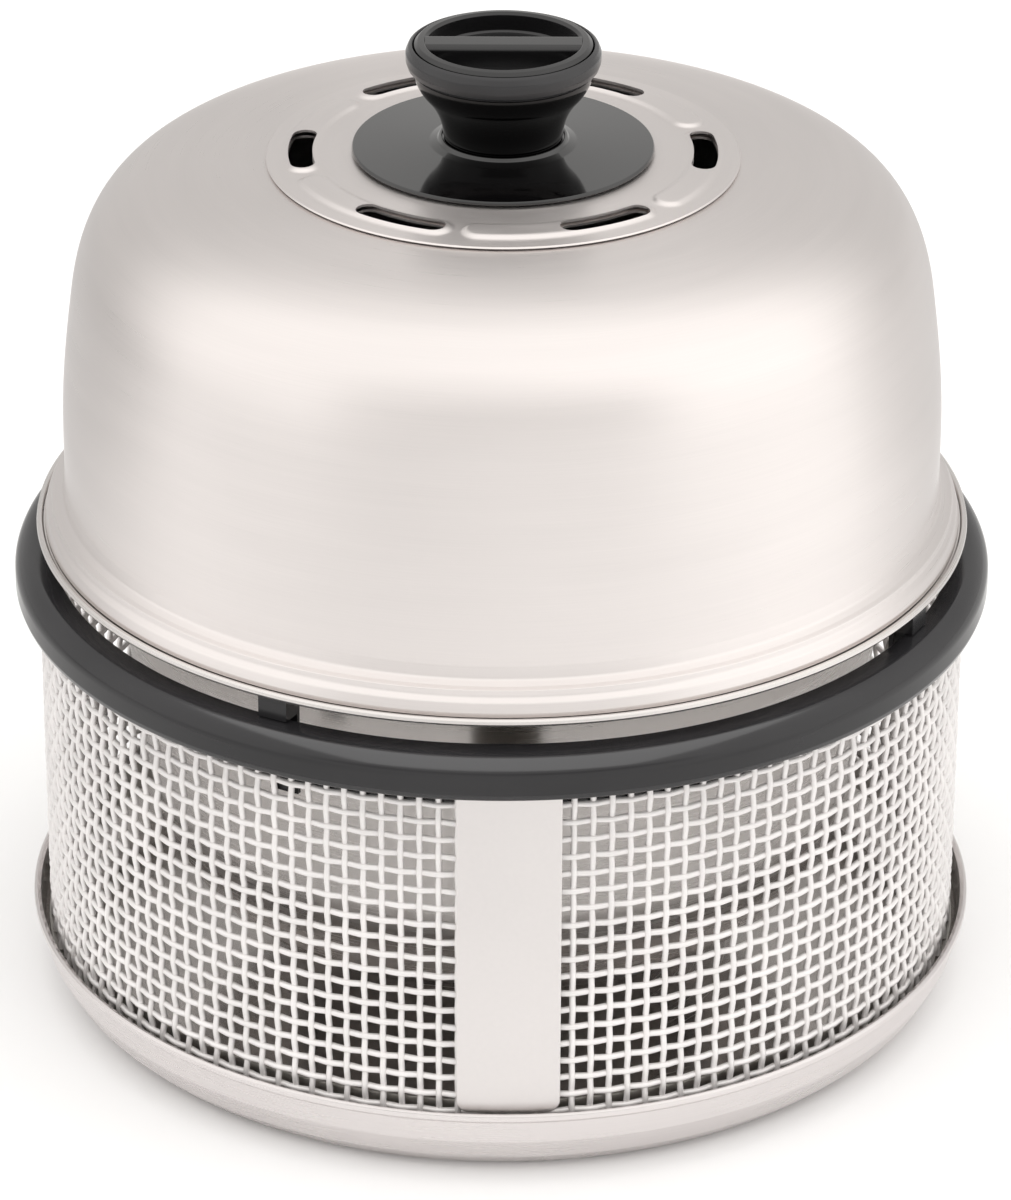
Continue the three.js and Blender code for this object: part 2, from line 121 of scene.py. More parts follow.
def sheet_outline(line, thickness):
    """The closed outline of a sheet that follows a line, thickened to the line's left."""
    line = [Vector(p[:2]) for p in line]
    offset = []
    for i, point in enumerate(line):
        ahead = (line[min(i + 1, len(line) - 1)] - line[max(i, 0)]).normalized()
        back = (line[i] - line[max(i - 1, 0)]).normalized()
        if i == 0:
            back = ahead
        if i == len(line) - 1:
            ahead = back
        normal = Vector((-ahead.y - back.y, ahead.x + back.x))
        moved = point + normal * (2 * thickness / normal.length_squared)
        if point.x == 0:
            moved.x = 0
        offset.append(moved)
    return line + offset[::-1]


def lathe(name, outline, sides=SIDES, closed=True, shade=True):
    """Turns an outline about Z. An outline that isn't closed begins and ends on the axis."""
    profile = fillet(outline, closed)
    bm = bmesh.new()
    rings = []
    for r, z in profile:
        if r < 1e-6:
            rings.append([bm.verts.new((0, 0, z * MM))])
            continue
        rings.append([
            bm.verts.new((r * MM * math.sin(2 * math.pi * k / sides),
                          -r * MM * math.cos(2 * math.pi * k / sides), z * MM))
            for k in range(sides)])
    pairs = list(zip(rings, rings[1:])) + ([(rings[-1], rings[0])] if closed else [])
    for low, high in pairs:
        for k in range(sides):
            n = (k + 1) % sides
            face = [low[k % len(low)], low[n % len(low)], high[n % len(high)], high[k % len(high)]]
            face = list(dict.fromkeys(face))
            if len(face) > 2:
                bm.faces.new(face)
    bmesh.ops.recalc_face_normals(bm, faces=bm.faces)
    piece = link_bmesh(name, bm)
    if shade:
        smooth(piece)
    return piece


def plan(radius, degrees):
    """A point in plan, metres, at an angle from the front, positive towards +X."""
    a = math.radians(degrees)
    return Vector((radius * MM * math.sin(a), -radius * MM * math.cos(a)))


def prism(bm, points, low, high):
    """Adds a straight prism over points in plan to a mesh under construction."""
    bottom = [bm.verts.new((p.x, p.y, low * MM)) for p in points]
    top = [bm.verts.new((p.x, p.y, high * MM)) for p in points]
    bm.faces.new(bottom[::-1])
    bm.faces.new(top)
    count = len(points)
    for i in range(count):
        n = (i + 1) % count
        bm.faces.new((bottom[i], bottom[n], top[n], top[i]))


def arc_slot(mid, half_width, centre, span, steps=20, cap_steps=8):
    """The outline in plan of a slot with round ends that follows an arc."""
    cap = math.degrees(half_width / mid)
    start, end = centre - span / 2 + cap, centre + span / 2 - cap
    points = []
    for i in range(steps + 1):
        points.append(plan(mid + half_width, start + (end - start) * i / steps))
    for i in range(1, cap_steps):
        a = math.radians(end + 180 * i / cap_steps)
        points.append(plan(mid, end) + Vector((math.sin(a), -math.cos(a))) * half_width * MM)
    for i in range(steps + 1):
        points.append(plan(mid - half_width, end + (start - end) * i / steps))
    for i in range(1, cap_steps):
        a = math.radians(start + 180 + 180 * i / cap_steps)
        points.append(plan(mid, start) + Vector((math.sin(a), -math.cos(a))) * half_width * MM)
    return points


def carve(piece, build):
    """Cuts away the closed shapes that build() adds to an empty mesh."""
    bm = bmesh.new()
    build(bm)
    bmesh.ops.recalc_face_normals(bm, faces=bm.faces)
    cutter = link_bmesh("cutter", bm)
    mesh = cutter.data
    boolean = piece.modifiers.new("carve", "BOOLEAN")
    boolean.operation = "DIFFERENCE"
    boolean.solver = "EXACT"
    boolean.object = cutter
    apply_modifiers(piece)
    bpy.data.objects.remove(cutter)
    bpy.data.meshes.remove(mesh)


def radial_hole(bm, radius, start, end, degrees, z, sides):
    """Adds a round cutter that lies along the radius."""
    along = plan(1, degrees).normalized()
    side = Vector((-along.y, along.x))
    loops = []
    for r in (start, end):
        loops.append([])
        for k in range(sides):
            a = 2 * math.pi * k / sides
            flat = along * r * MM + side * radius * MM * math.cos(a)
            loops[-1].append(bm.verts.new((flat.x, flat.y, (z + radius * math.sin(a)) * MM)))
    bm.faces.new(loops[0][::-1])
    bm.faces.new(loops[1])
    for k in range(sides):
        n = (k + 1) % sides
        bm.faces.new((loops[0][k], loops[0][n], loops[1][n], loops[1][k]))


def tube(verts, faces, path, radius, sides, frames):
    """Adds a round wire along a path of points; frames gives each point's two section axes."""
    base = len(verts)
    for point, (u, v) in zip(path, frames):
        for k in range(sides):
            a = 2 * math.pi * k / sides
            verts.append(point + (u * math.cos(a) + v * math.sin(a)) * radius)
    for i in range(len(path) - 1):
        for k in range(sides):
            n = (k + 1) % sides
            faces.append((base + i * sides + k, base + i * sides + n,
                          base + (i + 1) * sides + n, base + (i + 1) * sides + k))
    faces.append(tuple(base + k for k in range(sides))[::-1])
    faces.append(tuple(base + (len(path) - 1) * sides + k for k in range(sides)))


def mesh_piece(name, verts, faces, sharp=SHARP):
    """A smooth-shaded piece from plain lists of points and faces."""
    mesh = bpy.data.meshes.new(name)
    mesh.from_pydata([tuple(v) for v in verts], [], faces)
    piece = link(name, mesh)
    bm = bmesh.new()
    bm.from_mesh(mesh)
    bmesh.ops.recalc_face_normals(bm, faces=bm.faces)
    bm.to_mesh(mesh)
    bm.free()
    mesh.shade_smooth()
    mesh.set_sharp_from_angle(angle=sharp)
    return piece


def bevelled(node, name, width, segments=3, limit=30):
    """A copy of a CAD node with its edges rounded."""
    bm = bmesh.new()
    bm.from_mesh(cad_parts[node].data)
    bmesh.ops.remove_doubles(bm, verts=bm.verts, dist=1e-6)
    bmesh.ops.dissolve_limit(bm, angle_limit=math.radians(1), verts=bm.verts, edges=bm.edges)
    piece = link_bmesh(name, bm)
    bevel = piece.modifiers.new("bevel", "BEVEL")
    bevel.width = width * MM
    bevel.segments = segments
    bevel.limit_method = "ANGLE"
    bevel.angle_limit = math.radians(limit)
    apply_modifiers(piece)
    smooth(piece)
    return piece


# ---------------------------------------------------------------- material helpers

class Shader:
    """A Principled material and short calls for the nodes that feed it."""

    def __init__(self, name, colour, metallic, roughness, **sockets):
        self.material = bpy.data.materials.new(name)
        self.material.use_nodes = True
        self.tree = self.material.node_tree
        self.surface = self.tree.nodes["Principled BSDF"]
        self.colour = colour
        self.set("Base Color", (*colour, 1))
        self.set("Metallic", metallic)
        self.set("Roughness", roughness)
        for socket, value in sockets.items():
            self.set(socket.replace("_", " "), value)

    def set(self, socket, value):
        self.surface.inputs[socket].default_value = value

    def node(self, kind, inputs=None, **settings):
        made = self.tree.nodes.new("ShaderNode" + kind)
        for key, value in settings.items():
            setattr(made, key, value)
        for key, value in (inputs or {}).items():
            if isinstance(value, bpy.types.NodeSocket):
                self.tree.links.new(value, made.inputs[key])
            else:
                made.inputs[key].default_value = value
        return made

    def math(self, operation, a, b=0.0, c=0.0):
        return self.node("Math", {0: a, 1: b, 2: c}, operation=operation).outputs[0]

    def place(self):
        return self.node("TexCoord").outputs["Object"]

    def noise(self, vector, scale, detail=3.0, roughness=0.5):
        return self.node("TexNoise", {"Vector": vector, "Scale": scale, "Detail": detail,
                                      "Roughness": roughness}).outputs["Fac"]

    def span(self, value, low, high, start=0.3, stop=0.7):
        return self.node("MapRange", {"Value": value, "From Min": start, "From Max": stop,
                                      "To Min": low, "To Max": high}).outputs[0]

    def ease(self, value, low, high, start, stop):
        return self.node("MapRange", {"Value": value, "From Min": start, "From Max": stop,
                                      "To Min": low, "To Max": high},
                         interpolation_type="SMOOTHSTEP").outputs[0]

    def turned_lines(self, around, across):
        """Coordinates that stretch a pattern round the axis, with no seam."""
        x, y, z = self.node("SeparateXYZ", {0: self.place()}).outputs
        radius = self.math("SQRT", self.math("ADD", self.math("MULTIPLY", x, x),
                                             self.math("MULTIPLY", y, y)))
        along = self.math("SUBTRACT", z, radius)
        return self.node("CombineXYZ", {
            0: self.math("MULTIPLY", self.math("DIVIDE", x, radius), around),
            1: self.math("MULTIPLY", self.math("DIVIDE", y, radius), around),
            2: self.math("MULTIPLY", along, across)}).outputs[0]

    def vary_colour(self, value, low, high):
        """Mixes the base colour between a darker and a lighter one (sockets 6 and 7)."""
        dark = (*(c * low for c in self.colour), 1)
        light = (*(min(c * high, 1) for c in self.colour), 1)
        mix = self.node("Mix", {0: value, 6: dark, 7: light}, data_type="RGBA")
        self.tree.links.new(mix.outputs[2], self.surface.inputs["Base Color"])

    def vary_roughness(self, value):
        self.tree.links.new(value, self.surface.inputs["Roughness"])

    def bump(self, value, strength, depth_mm):
        bump = self.node("Bump", {"Strength": strength, "Distance": depth_mm * MM, "Height": value})
        self.tree.links.new(bump.outputs[0], self.surface.inputs["Normal"])

    def brush_round(self):
        """Fine marks round the axis: reflections smear along the meridian."""
        tangent = self.node("Tangent", direction_type="RADIAL", axis="Z")
        self.tree.links.new(tangent.outputs[0], self.surface.inputs["Tangent"])


def brushed(name, colour, roughness, anisotropic, spread=0.05, strength=0.06):
    """Stainless steel with fine brush marks round the axis."""
    s = Shader(name, colour, 1.0, roughness, Anisotropic=anisotropic, Anisotropic_Rotation=0.25)
    s.brush_round()
    fine = s.noise(s.turned_lines(3.0, 2600.0), 1.0, 4.0, 0.6)
    broad = s.noise(s.turned_lines(1.2, 90.0), 1.0, 3.0)
    cloud = s.noise(s.place(), 9.0, 2.0)
    s.vary_colour(s.span(s.math("ADD", s.math("MULTIPLY", fine, 0.5),
                                s.math("MULTIPLY", broad, 0.5)), 0.0, 1.0), 0.965, 1.03)
    s.vary_roughness(s.math("ADD", s.span(fine, roughness - spread, roughness + spread),
                            s.span(cloud, -0.02, 0.02)))
    s.bump(fine, strength, 0.02)
    return s.material


def turned_steel(name, colour, roughness, anisotropic=0.35):
    """Spun or deep-drawn sheet: faint rings and a little waviness."""
    s = Shader(name, colour, 1.0, roughness, Anisotropic=anisotropic, Anisotropic_Rotation=0.25)
    s.brush_round()
    rings = s.noise(s.turned_lines(1.5, 900.0), 1.0, 3.0)
    waves = s.noise(s.place(), 22.0, 2.0)
    s.vary_colour(s.span(rings, 0.0, 1.0), 0.95, 1.03)
    s.vary_roughness(s.math("ADD", s.span(rings, roughness - 0.03, roughness + 0.03),
                            s.span(waves, -0.015, 0.02)))
    s.bump(s.math("ADD", waves, s.math("MULTIPLY", rings, 0.15)), 0.12, 0.12)
    return s.material


def plain_metal(name, colour, roughness, scale=260.0, tint=0.08, strength=0.12):
    """Unpolished metal with a fine grain and soft patches."""
    s = Shader(name, colour, 1.0, roughness)
    grain = s.noise(s.place(), scale, 4.0, 0.6)
    patch = s.noise(s.place(), 30.0, 3.0)
    s.vary_colour(s.span(s.math("ADD", s.math("MULTIPLY", grain, 0.4),
                                s.math("MULTIPLY", patch, 0.6)), 0.0, 1.0), 1 - tint, 1 + tint)
    s.vary_roughness(s.math("ADD", s.span(patch, roughness - 0.05, roughness + 0.05),
                            s.span(grain, -0.03, 0.03)))
    s.bump(grain, strength, 0.03)
    return s.material


def bright_wire(name):
    """Drawn wire with a pale, slightly milky skin."""
    s = Shader(name, (0.84, 0.815, 0.805), 0.3, 0.42)
    grain = s.noise(s.place(), 420.0, 3.0, 0.6)
    patch = s.noise(s.place(), 36.0, 3.0)
    s.vary_colour(s.span(patch, 0.0, 1.0), 0.94, 1.04)
    s.vary_roughness(s.math("ADD", s.span(patch, 0.34, 0.44), s.span(grain, -0.03, 0.03)))
    s.bump(grain, 0.08, 0.03)
    return s.material


def plastic(name, colour, roughness, grain_scale, strength, coat=0.0, specular=0.5):
    """Moulded plastic: a fine grain, slightly uneven colour and gloss."""
    s = Shader(name, colour, 0.0, roughness, Coat_Weight=coat, Coat_Roughness=0.05,
               Specular_IOR_Level=specular)
    grain = s.noise(s.place(), grain_scale, 3.0, 0.55)
    cloud = s.noise(s.place(), 26.0, 3.0)
    s.vary_colour(s.span(cloud, 0.0, 1.0), 0.9, 1.12)
    s.vary_roughness(s.math("ADD", s.span(cloud, roughness - 0.02, roughness + 0.03),
                            s.span(grain, -0.02, 0.02)))
    s.bump(grain, strength, 0.02)
    return s.material


def non_stick_coat(name):
    """A matt dark coating with fine lighter flecks and a faint orange peel."""
    s = Shader(name, (0.016, 0.016, 0.017), 0.0, 0.42, Specular_IOR_Level=0.45)
    flecks = s.node("TexVoronoi", {"Vector": s.place(), "Scale": 900.0}).outputs["Distance"]
    peel = s.noise(s.place(), 700.0, 3.0)
    s.vary_colour(s.span(flecks, 1.0, 0.0, 0.05, 0.16), 1.0, 3.2)
    s.vary_roughness(s.span(peel, 0.36, 0.5))
    s.bump(peel, 0.25, 0.03)
    return s.material


LOOKS = {
    "brushed_dome": brushed("brushed_dome", (0.80, 0.757, 0.74), 0.33, 0.78),
    "brushed_ring": brushed("brushed_ring", (0.82, 0.777, 0.76), 0.36, 0.75, 0.04, 0.04),
    "brushed_pan": brushed("brushed_pan", (0.735, 0.698, 0.69), 0.28, 0.5, 0.015, 0.008),
    "polished": turned_steel("polished_bowl", (0.74, 0.71, 0.69), 0.26),
    "pan_inside": turned_steel("pan_inside", (0.74, 0.71, 0.69), 0.24),
    "wire": bright_wire("bright_wire"),
    "plate": plain_metal("satin_plate", (0.73, 0.70, 0.69), 0.38, 520.0, 0.03, 0.05),
    "plain": plain_metal("plain_steel", (0.45, 0.435, 0.41), 0.38),
    "ring": plastic("satin_black", (0.015, 0.0145, 0.0155), 0.15, 1400.0, 0.03, 0.0, 0.42),
    "gloss": plastic("gloss_black", (0.002, 0.0018, 0.002), 0.07, 260.0, 0.008, 0.75),
    "stem": plastic("deep_black", (0.001, 0.0009, 0.001), 0.1, 260.0, 0.008, 0.0, 0.3),
    "cap": plastic("soft_black", (0.007, 0.0068, 0.0072), 0.15, 500.0, 0.02, 0.3),
    "rim": plastic("satin_grey", (0.024, 0.0235, 0.025), 0.18, 1200.0, 0.04),
    "coat": non_stick_coat("non_stick"),
    "brass": plain_metal("brass", (0.72, 0.56, 0.27), 0.3),
}


def finished(piece, body, look, slot, *nodes):
    """Gives a piece its material and body, hides its CAD nodes; the slot is not used."""
    piece.data.materials.clear()
    piece.data.materials.append(LOOKS[look])
    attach(piece, body)
    if nodes:
        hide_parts(*nodes)
    return piece


# ---------------------------------------------------------------- base: pan, mesh and rim ring

PAN_OUTLINE = [
    (0, 0), (141, 0, 2.5), (145.4, 1.6, 2), (150.2, 6.2, 3), (154.7, 14.4, 0.7), (156.3, 22.6, 0.9),
    (157.7, 23.8, 0.7), (157.7, 25.6, 0.8), (156.8, 26.2, 0.5), (155.4, 25.4, 0.4), (155.2, 22.2),
    (153.7, 14.9), (149.3, 7.2, 2), (144.6, 2.7, 2), (140.6, 1, 2), (0, 1),
]
PAN_INSIDE_R = 155.25            # faces further in than this can be the pan's inside
pan = finished(lathe("pan", PAN_OUTLINE, closed=False), "base", "brushed_pan",
               "brushed_stainless", "base_pan")
pan.data.materials.append(LOOKS["pan_inside"])
for face in pan.data.polygons:
    radius = math.hypot(face.center.x, face.center.y)
    if radius < PAN_INSIDE_R * MM and (face.normal.z > 0 or face.normal.xy.dot(face.center.xy) < 0):
        face.material_index = 1

RING_SHOULDER = 7                # radius of the ring's upper outer edge
RING_OUTLINE = [
    (148.8, 139.8, 1.2), (159.2, 139.8, 1.6), (160, 142.2, 1.5), (160, 147), *[
        (153 + RING_SHOULDER * math.cos(math.radians(a)),
         147 + RING_SHOULDER * math.sin(math.radians(a))) for a in range(5, 90, 5)],
    (147.6, 154, 0.6), (147.6, 152.6, 0.5), (148.8, 152.6, 0.8),
]
ring = finished(lathe("ring", RING_OUTLINE), "base", "ring", "satin_black", "rim_ring")

BOTTOM_HOOP = [
    (147.4, 15.3, 0.3), (152.9, 15.3, 0.3), (152.9, 16.2, 0.3), (148.4, 16.2, 0.4),
    (148.4, 26, 0.3), (147.4, 26, 0.3),
]
finished(lathe("lower_hoop", BOTTOM_HOOP), "base", "plain", "plain_steel", "mesh_bottom_hoop")

TOP_HOOP = [(147.4, 131.6, 0.3), (148.4, 131.6, 0.3), (148.4, 151.2, 0.3), (147.4, 151.2, 0.3)]
finished(lathe("upper_hoop", TOP_HOOP), "base", "ring", "satin_black", "mesh_top_hoop")

WIRE_R = 1.05                    # woven wire, mm
WEAVE_R = 150.9                  # middle of the weave
UPRIGHT_WAVE = 0.45              # how far a wire swings in and out
LEVEL_WAVE = 0.35                # the same for a level wire
UPRIGHTS = 158
UPRIGHT_FIRST = -0.47            # degrees from the front
HOOPS = 19
HOOP_FIRST = 23.44               # height of the lowest level wire
HOOP_PITCH = 6.12
WEAVE_BOTTOM, WEAVE_TOP = 16.7, 139.3
STEPS = 4                        # path points from one crossing to the next
WIRE_SIDES = 8
WIRE_SHARP = math.radians(60)


def upright_wires(name, first, last):
    """The wires that stand up, each passing outside and inside the level ones in turn."""
    verts, faces = [], []
    steps = range(1 - STEPS, (HOOPS - 1) * STEPS + 1)
    heights = [WEAVE_BOTTOM, *(HOOP_FIRST + HOOP_PITCH * k / STEPS for k in steps), WEAVE_TOP]
    for i in range(first, last):
        angle = UPRIGHT_FIRST + 360 * i / UPRIGHTS
        across = plan(1, angle + 90).normalized().to_3d()
        out = plan(1, angle).normalized().to_3d()
        path = []
        for z in heights:
            swing = UPRIGHT_WAVE * math.cos(math.pi * ((z - HOOP_FIRST) / HOOP_PITCH + i))
            path.append(out * (WEAVE_R + swing) * MM + Vector((0, 0, z * MM)))
        tube(verts, faces, path, WIRE_R * MM, WIRE_SIDES, [(across, out)] * len(path))
    return mesh_piece(name, verts, faces, WIRE_SHARP)


def level_wires(name, first, last):
    """The wires that run round, each a closed ring that weaves between the upright ones."""
    verts, faces = [], []
    count = UPRIGHTS * STEPS
    for j in range(first, last):
        base = len(verts)
        for k in range(count):
            turn = k / STEPS
            angle = UPRIGHT_FIRST + 360 * turn / UPRIGHTS
            swing = -LEVEL_WAVE * math.cos(math.pi * (turn + j))
            out = plan(1, angle).normalized().to_3d()
            centre = out * (WEAVE_R + swing) * MM
            centre.z = (HOOP_FIRST + HOOP_PITCH * j) * MM
            for s in range(WIRE_SIDES):
                a = 2 * math.pi * s / WIRE_SIDES
                section = out * math.cos(a) + Vector((0, 0, math.sin(a)))
                verts.append(centre + section * WIRE_R * MM)
        for k in range(count):
            for s in range(WIRE_SIDES):
                n, m = (k + 1) % count, (s + 1) % WIRE_SIDES
                faces.append((base + k * WIRE_SIDES + s, base + n * WIRE_SIDES + s,
                              base + n * WIRE_SIDES + m, base + k * WIRE_SIDES + m))
    return mesh_piece(name, verts, faces, WIRE_SHARP)


def thirds(total):
    """Splits the wires 0 to total into three nearly equal runs, numbered from 1."""
    ends = [math.ceil(total * k / 3) for k in range(4)]
    return enumerate(zip(ends, ends[1:]), 1)


for make, kind, total in ((upright_wires, "upright", UPRIGHTS), (level_wires, "level", HOOPS)):
    for part, (first, last) in thirds(total):
        finished(make(f"{kind}_wires_{part}", first, last), "base", "wire", "stainless_wire",
                 "mesh_screen")


def bent_plate(name, outer, thickness, centre, span, low, high, corner, edge=0.22, columns=36):
    """A plate that follows a cylinder, with rounded lower corners and softened edges."""
    half = math.radians(span / 2) * outer
    stations = [-half + 2 * half * i / columns for i in range(columns + 1)]
    for d in (0.04, 0.15, 0.35, 0.65):      # closer together where the corners curve
        stations += [-half + corner * d, half - corner * d]
    stations = sorted(set(round(u, 5) for u in stations))
    bm = bmesh.new()
    loops = {}
    for layer, (r, inset) in enumerate(((outer, edge), (outer - edge * 0.8, 0.0),
                                        (outer - thickness + edge * 0.8, 0.0),
                                        (outer - thickness, edge))):
        for i, u in enumerate(stations):
            reach = half - inset
            v = u * reach / half
            gap = max(0.0, corner - (half - abs(u)))
            rise = corner - math.sqrt(max(corner ** 2 - gap ** 2, 0.0))
            flat = plan(r, centre + math.degrees(v / outer))
            loops[layer, i, 0] = bm.verts.new((flat.x, flat.y, (low + rise + inset) * MM))
            loops[layer, i, 1] = bm.verts.new((flat.x, flat.y, (high - inset) * MM))
    last = len(stations) - 1
    for i in range(last):
        for layer in (0, 3):
            bm.faces.new([loops[layer, i, 0], loops[layer, i + 1, 0], loops[layer, i + 1, 1],
                          loops[layer, i, 1]])
        for layer in range(3):
            for end in (0, 1):
                bm.faces.new([loops[layer, i, end], loops[layer, i + 1, end],
                              loops[layer + 1, i + 1, end], loops[layer + 1, i, end]])
    for layer in range(3):
        for i in (0, last):
            bm.faces.new([loops[layer, i, 0], loops[layer, i, 1], loops[layer + 1, i, 1],
                          loops[layer + 1, i, 0]])
    bmesh.ops.remove_doubles(bm, verts=bm.verts, dist=1e-7)
    bmesh.ops.recalc_face_normals(bm, faces=bm.faces)
    piece = link_bmesh(name, bm)
    smooth(piece, math.radians(50))
    return piece


SEAM_CENTRE, SEAM_SPAN = 1.0, 12.2   # degrees: from the front, and of arc
finished(bent_plate("seam_strip", 154.1, SHEET, SEAM_CENTRE, SEAM_SPAN, 25, 139.4, 4.0),
         "base", "plate", "brushed_stainless", "seam_plate")
finished(bent_plate("seam_back_strip", 148.4, 1.0, SEAM_CENTRE, SEAM_SPAN, 26.4, 131.2, 0.8),
         "base", "plain", "plain_steel", "seam_backing")

for i in (1, 2, 3, 4):
    finished(bevelled(f"rim_lug_{i}", f"lug_{i}", 0.5), "base", "ring", "satin_black",
             f"rim_lug_{i}")
    finished(bevelled(f"lug_screw_{i}", f"screw_{i}", 0.25, 2, 50), "base", "plain", "plain_steel",
             f"lug_screw_{i}")


# ---------------------------------------------------------------- inner bowl

BOWL_LINE = fillet([(0, 76), (59, 76, 4), (69, 34, 6), (86, 34)], False, 8)
BOWL_LINE += bezier((86, 34), (104, 34), (114, 50), (118.4, 78), 20)
BOWL_LINE += fillet([
    (118.4, 78), (126, 140, 30), (130, 157.5, 7), (134, 162.7, 3), (151.4, 162.7),
], False, 8)[1:]
BOWL_SHEET = sheet_outline(BOWL_LINE, SHEET)
BOWL_LIP = [
    (152.0, 162.1), (152.5, 162.9), (152.3, 163.8), (151.6, 164.3), (150.8, 164.2), (150.2, 163.5),
]
BOWL_UNDER = BOWL_SHEET[:len(BOWL_LINE)]
BOWL_OVER = BOWL_SHEET[len(BOWL_LINE) + 1:]
finished(lathe("bowl", [*BOWL_UNDER, *BOWL_LIP, *BOWL_OVER], closed=False), "bowl", "polished",
         "polished_stainless", "inner_bowl")


# ---------------------------------------------------------------- charcoal basket and its bail

BASKET_LINE = fillet([
    (0, 77.2), (56, 77.2, 3), (58, 79.4, 2), (58, 115.4, 2), (60.6, 116.6),
], False, 6)
BASKET_SIDES = 144
HOLE_R = 4
HOLE_SIDES = 24
HOLES_ROUND = 12                 # holes in each of the wall's two rows
HOLE_ROW_Z, HOLE_ROW_PITCH = 89.2, 14
FLOOR_HOLES, FLOOR_HOLE_R = 6, 32    # holes in the floor, and how far from the middle
WALL_CUT = (50, 62)              # radii between which the wall is cut
FLOOR_CUT = (74, 81)             # heights between which the floor is cut
basket = lathe("charcoal_basket", sheet_outline(BASKET_LINE, SHEET), BASKET_SIDES, closed=False,
               shade=False)


def basket_holes(bm):
    """Two staggered rows of holes in the wall and one ring of them in the floor."""
    for row in (0, 1):
        for k in range(HOLES_ROUND):
            degrees = (k + row / 2) * 360 / HOLES_ROUND
            radial_hole(bm, HOLE_R, *WALL_CUT, degrees, HOLE_ROW_Z + HOLE_ROW_PITCH * row,
                        HOLE_SIDES)
    turns = [2 * math.pi * s / HOLE_SIDES for s in range(HOLE_SIDES)]
    for k in range(FLOOR_HOLES):
        centre = plan(FLOOR_HOLE_R, 360 * k / FLOOR_HOLES)
        prism(bm, [centre + Vector((math.sin(a), -math.cos(a))) * HOLE_R * MM for a in turns],
              *FLOOR_CUT)


carve(basket, basket_holes)
smooth(basket)
finished(basket, "basket", "plain", "plain_steel", "fire_basket")
for side in ("left", "right"):
    finished(bevelled(f"basket_ear_{side}", f"ear_{side}", 0.3), "basket", "plain",
             "plain_steel", f"basket_ear_{side}")


def bail_wire():
    """A bent wire: in through one ear, along both sides and across in front."""
    tip, half, reach, height, wire_r = 56.4, 62.5, 36.0, 121.3, 1.5
    corners = [(-tip, 0), (-half, 0, 5), (-half, -reach, 12), (half, -reach, 12), (half, 0, 5),
               (tip, 0)]
    path = [Vector((p.x * MM, p.y * MM, height * MM)) for p in fillet(corners, False, 10)]
    up = Vector((0, 0, 1))
    frames = []
    for i in range(len(path)):
        run = (path[min(i + 1, len(path) - 1)] - path[max(i - 1, 0)]).normalized()
        frames.append((run.cross(up), up))
    verts, faces = [], []
    tube(verts, faces, path, wire_r * MM, 20, frames)
    return mesh_piece("bail", verts, faces)


finished(bail_wire(), "bail", "plain", "plain_steel", "basket_bail")


# ---------------------------------------------------------------- grill plate

PLATE_LINE = fillet([
    (0, 170.3), (55, 168.9, 30), (104, 164.9, 8), (108, 162.1, 2), (119, 162.1, 2), (122, 163.9, 2),
    (147.2, 163.9),
], False, 6)
PLATE_THICKNESS = 1.4
SLOTS = 12                       # slots round the drip channel
SLOT_R, SLOT_HALF, SLOT_SPAN = 113.5, 2.4, 20
SLOT_CUT = (155, 175)            # heights between which the plate is cut
plate = lathe("grill", sheet_outline(PLATE_LINE, PLATE_THICKNESS), closed=False, shade=False)


def plate_slots(bm):
    for k in range(SLOTS):
        prism(bm, arc_slot(SLOT_R, SLOT_HALF, 360 / SLOTS * k, SLOT_SPAN), *SLOT_CUT)


carve(plate, plate_slots)
smooth(plate)
finished(plate, "grill", "coat", "non_stick", "grill_plate")


# ---------------------------------------------------------------- domed lid

VENTS = [30 + 60 * k for k in range(6)]  # degrees from the front
VENT_R, VENT_HALF, VENT_SPAN = 64.7, 3.9, 28
VENT_CUT = (282, 294)            # heights between which the slots are cut

LID_LINE = fillet([
    (149.6, 163.9), (149.7, 165.4, 0.8), (148.9, 168.4, 1.8), (147.3, 169.9, 1.5),
    (147.3, 171.9, 0.5), (145.7, 172.6, 0.7), (143.6, 174.0, 1.8), (142.8, 178, 2.5), (142.8, 196),
], False, 6)
LID_LINE += bezier((142.8, 196), (142.8, 214), (140.7, 229), (139, 242), 14)
LID_LINE += bezier((139, 242), (134.4, 278.6), (114.9, 283.3), (84, 286.4), 40)
LID_LINE += bezier((84, 286.4), (72, 287.6), (60, 288.2), (48.4, 288.35), 10)
LID_LINE += [Vector((3.2, 288.7))]
dome = lathe("dome", sheet_outline(LID_LINE, SHEET), shade=False)


def vent_cutters(bm):
    for angle in VENTS:
        prism(bm, arc_slot(VENT_R, VENT_HALF, angle, VENT_SPAN), *VENT_CUT)


carve(dome, vent_cutters)
smooth(dome)
finished(dome, "lid", "brushed_dome", "brushed_stainless", "lid_dome")


# ---------------------------------------------------------------- rotating vent ring

RAISE = 0.95                     # how far the pressed cover and the slot's surround stand up, mm
RAISE_HALF = 5.6                 # half the pressed band's width
RAISE_EDGE = 1.9                 # width of the slope round it
RAISE_FROM, RAISE_TO = -41.5, 16.2   # degrees either side of a slot's middle
DAMPER_SIDES = 540
DAMPER_STEP = 0.7                # longest step along the ring's section, mm
DAMPER_LIP = Vector((75.75, 287.85))


def raised(radius, degrees):
    """Height of the pressed band over the plain ring."""
    best = 0.0
    for slot_angle in VENTS:
        off = (degrees - slot_angle + 180) % 360 - 180
        ends = math.degrees(RAISE_HALF / VENT_R)
        nearest = min(max(off, RAISE_FROM + ends), RAISE_TO - ends)
        dx = math.radians(off - nearest) * radius
        distance = math.hypot(dx, radius - VENT_R)
        t = min(max((RAISE_HALF - distance) / RAISE_EDGE, 0.0), 1.0)
        best = max(best, t * t * (3 - 2 * t))
    return best * RAISE


